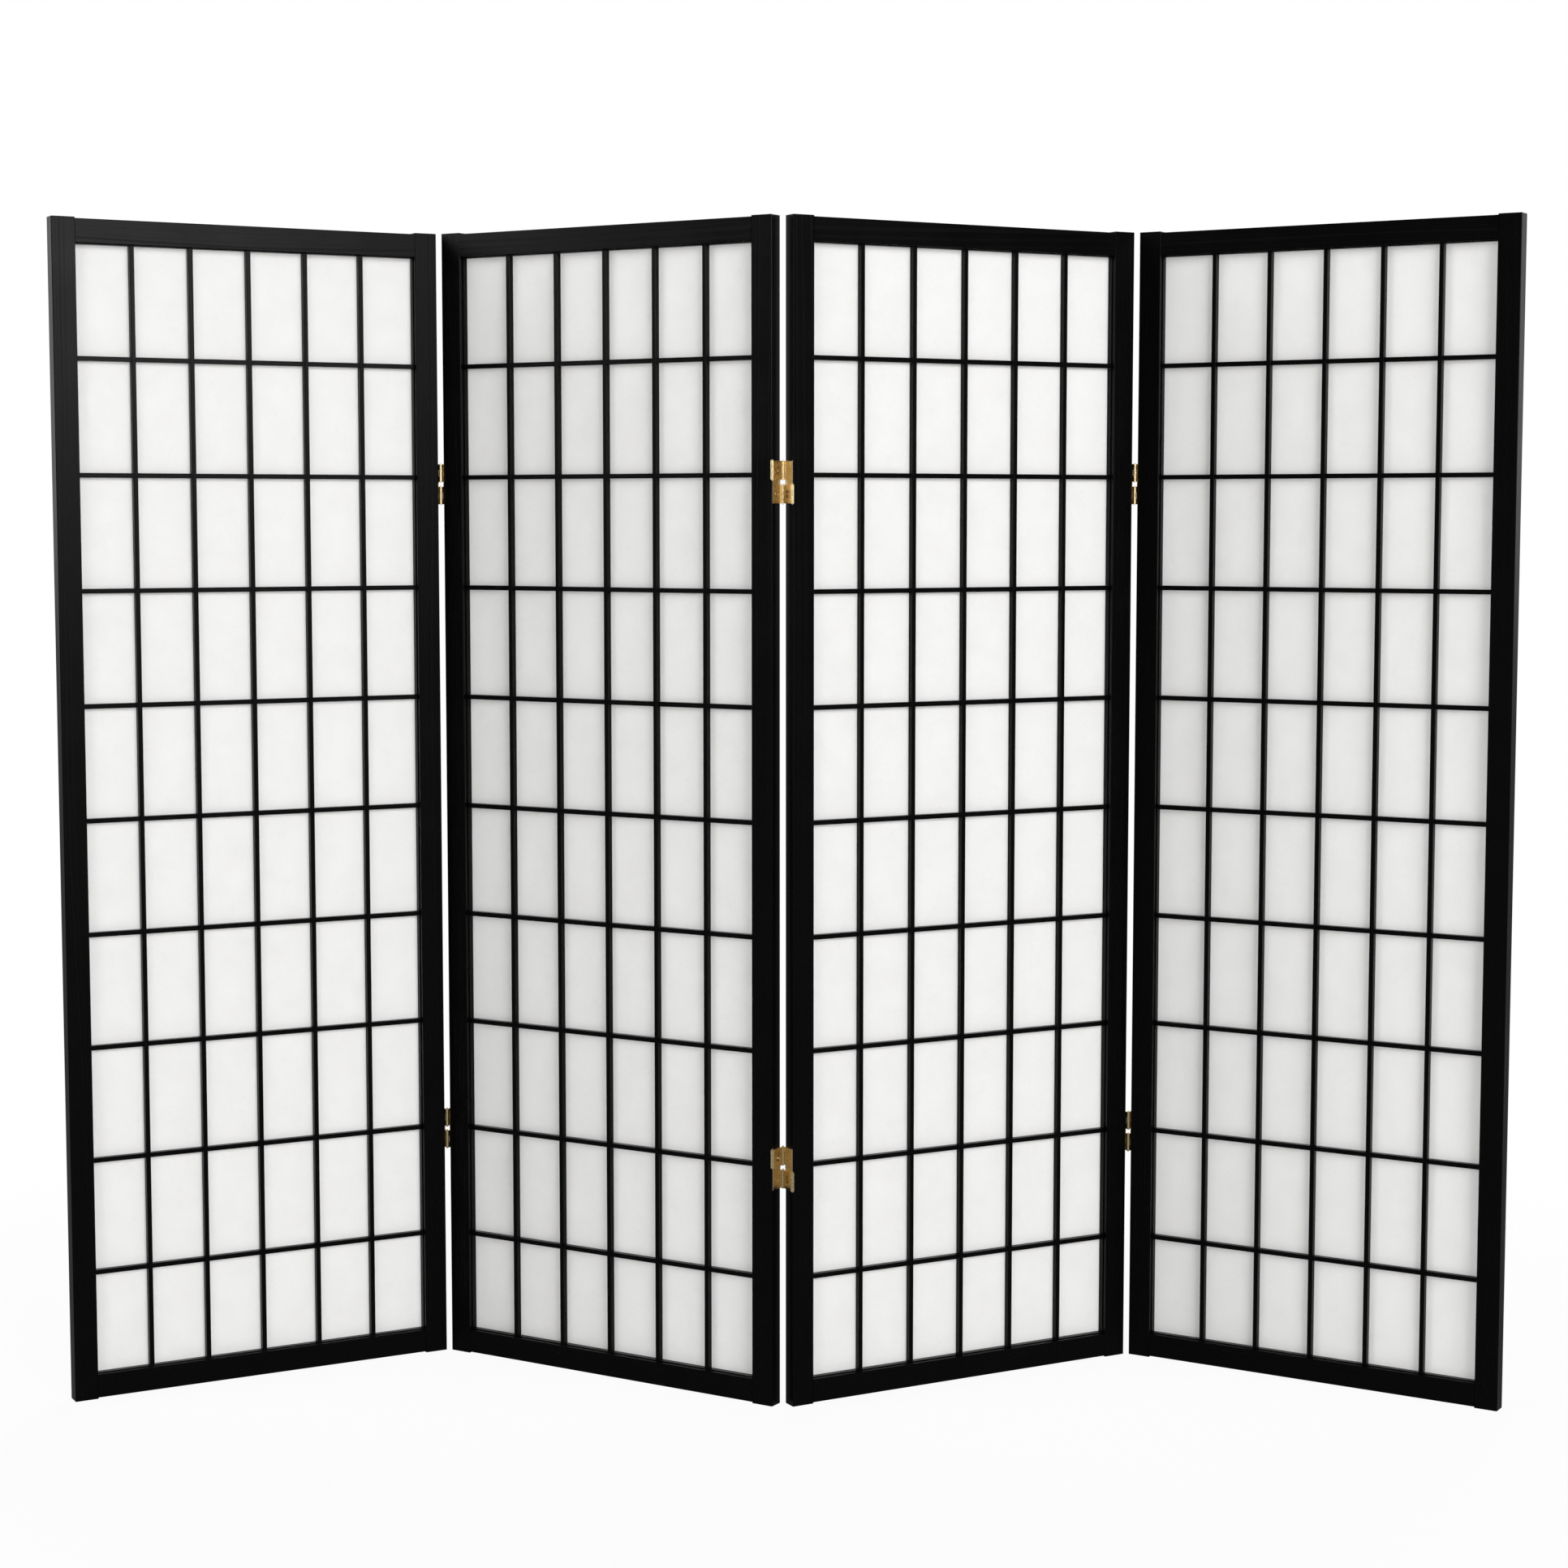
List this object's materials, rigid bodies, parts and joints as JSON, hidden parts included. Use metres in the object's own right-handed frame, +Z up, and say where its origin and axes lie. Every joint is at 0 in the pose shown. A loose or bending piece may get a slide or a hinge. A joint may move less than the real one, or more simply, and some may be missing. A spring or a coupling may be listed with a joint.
{
  "type": "folding shoji screen",
  "caption": "Free-standing folding shoji screen: hinged black lacquered wooden panels with a rectangular lattice and white paper, used to divide a room.",
  "frame": {"origin": "on the floor, under the middle of the standing screen's box", "axes": "+Z up, +X along the row of panels, front of the screen towards -Y"},
  "size_m": [1.4874, 0.2312, 1.22],
  "materials": {
    "lacquered_frame": "black lacquer, satin, grain just showing",
    "lacquered_lattice": "black lacquer, satin",
    "paper": "translucent white fibre paper, matt",
    "brass": "polished",
    "screw_brass": "polished"
  },
  "bodies": {
    "panel_1": {"panel_1_left_stile": "lacquered_frame", "panel_1_right_stile": "lacquered_frame", "panel_1_top_rail": "lacquered_frame", "panel_1_bottom_rail": "lacquered_frame", "panel_1_upright_bars": "lacquered_lattice", "panel_1_cross_bars": "lacquered_lattice", "panel_1_paper": "paper", "panel_1_hinge_pins": "brass", "panel_1_hinge_screws": "screw_brass", "hinge_12_lower_left_leaf": "brass", "hinge_12_lower_bottom_link": "brass", "hinge_12_upper_left_leaf": "brass", "hinge_12_upper_bottom_link": "brass"},
    "panel_2": {"panel_2_left_stile": "lacquered_frame", "panel_2_right_stile": "lacquered_frame", "panel_2_top_rail": "lacquered_frame", "panel_2_bottom_rail": "lacquered_frame", "panel_2_upright_bars": "lacquered_lattice", "panel_2_cross_bars": "lacquered_lattice", "panel_2_paper": "paper", "panel_2_hinge_pins": "brass", "panel_2_hinge_screws": "screw_brass", "hinge_12_lower_right_leaf": "brass", "hinge_12_lower_top_link": "brass", "hinge_12_upper_right_leaf": "brass", "hinge_12_upper_top_link": "brass", "hinge_23_lower_left_leaf": "brass", "hinge_23_lower_top_link": "brass", "hinge_23_upper_left_leaf": "brass", "hinge_23_upper_top_link": "brass"},
    "panel_3": {"panel_3_left_stile": "lacquered_frame", "panel_3_right_stile": "lacquered_frame", "panel_3_top_rail": "lacquered_frame", "panel_3_bottom_rail": "lacquered_frame", "panel_3_upright_bars": "lacquered_lattice", "panel_3_cross_bars": "lacquered_lattice", "panel_3_paper": "paper", "panel_3_hinge_pins": "brass", "panel_3_hinge_screws": "screw_brass", "hinge_23_lower_right_leaf": "brass", "hinge_23_lower_bottom_link": "brass", "hinge_23_upper_right_leaf": "brass", "hinge_23_upper_bottom_link": "brass", "hinge_34_lower_left_leaf": "brass", "hinge_34_lower_bottom_link": "brass", "hinge_34_upper_left_leaf": "brass", "hinge_34_upper_bottom_link": "brass"},
    "panel_4": {"panel_4_left_stile": "lacquered_frame", "panel_4_right_stile": "lacquered_frame", "panel_4_top_rail": "lacquered_frame", "panel_4_bottom_rail": "lacquered_frame", "panel_4_upright_bars": "lacquered_lattice", "panel_4_cross_bars": "lacquered_lattice", "panel_4_paper": "paper", "panel_4_hinge_pins": "brass", "panel_4_hinge_screws": "screw_brass", "hinge_34_lower_right_leaf": "brass", "hinge_34_lower_top_link": "brass", "hinge_34_upper_right_leaf": "brass", "hinge_34_upper_top_link": "brass"}
  },
  "joints": [
    {"name": "fold_12", "type": "hinge", "parent": "panel_2", "child": "panel_1", "pos_m": [-0.37338, 0.09601, 0], "axis": [0, 0, 1], "range_deg": [-60, 119]},
    {"name": "fold_23", "type": "hinge", "parent": "panel_2", "child": "panel_3", "pos_m": [0, -0.09601, 0], "axis": [0, 0, 1], "range_deg": [-60, 119]},
    {"name": "fold_34", "type": "hinge", "parent": "panel_3", "child": "panel_4", "pos_m": [0.37338, 0.09601, 0], "axis": [0, 0, -1], "range_deg": [-60, 119]}
  ]
}
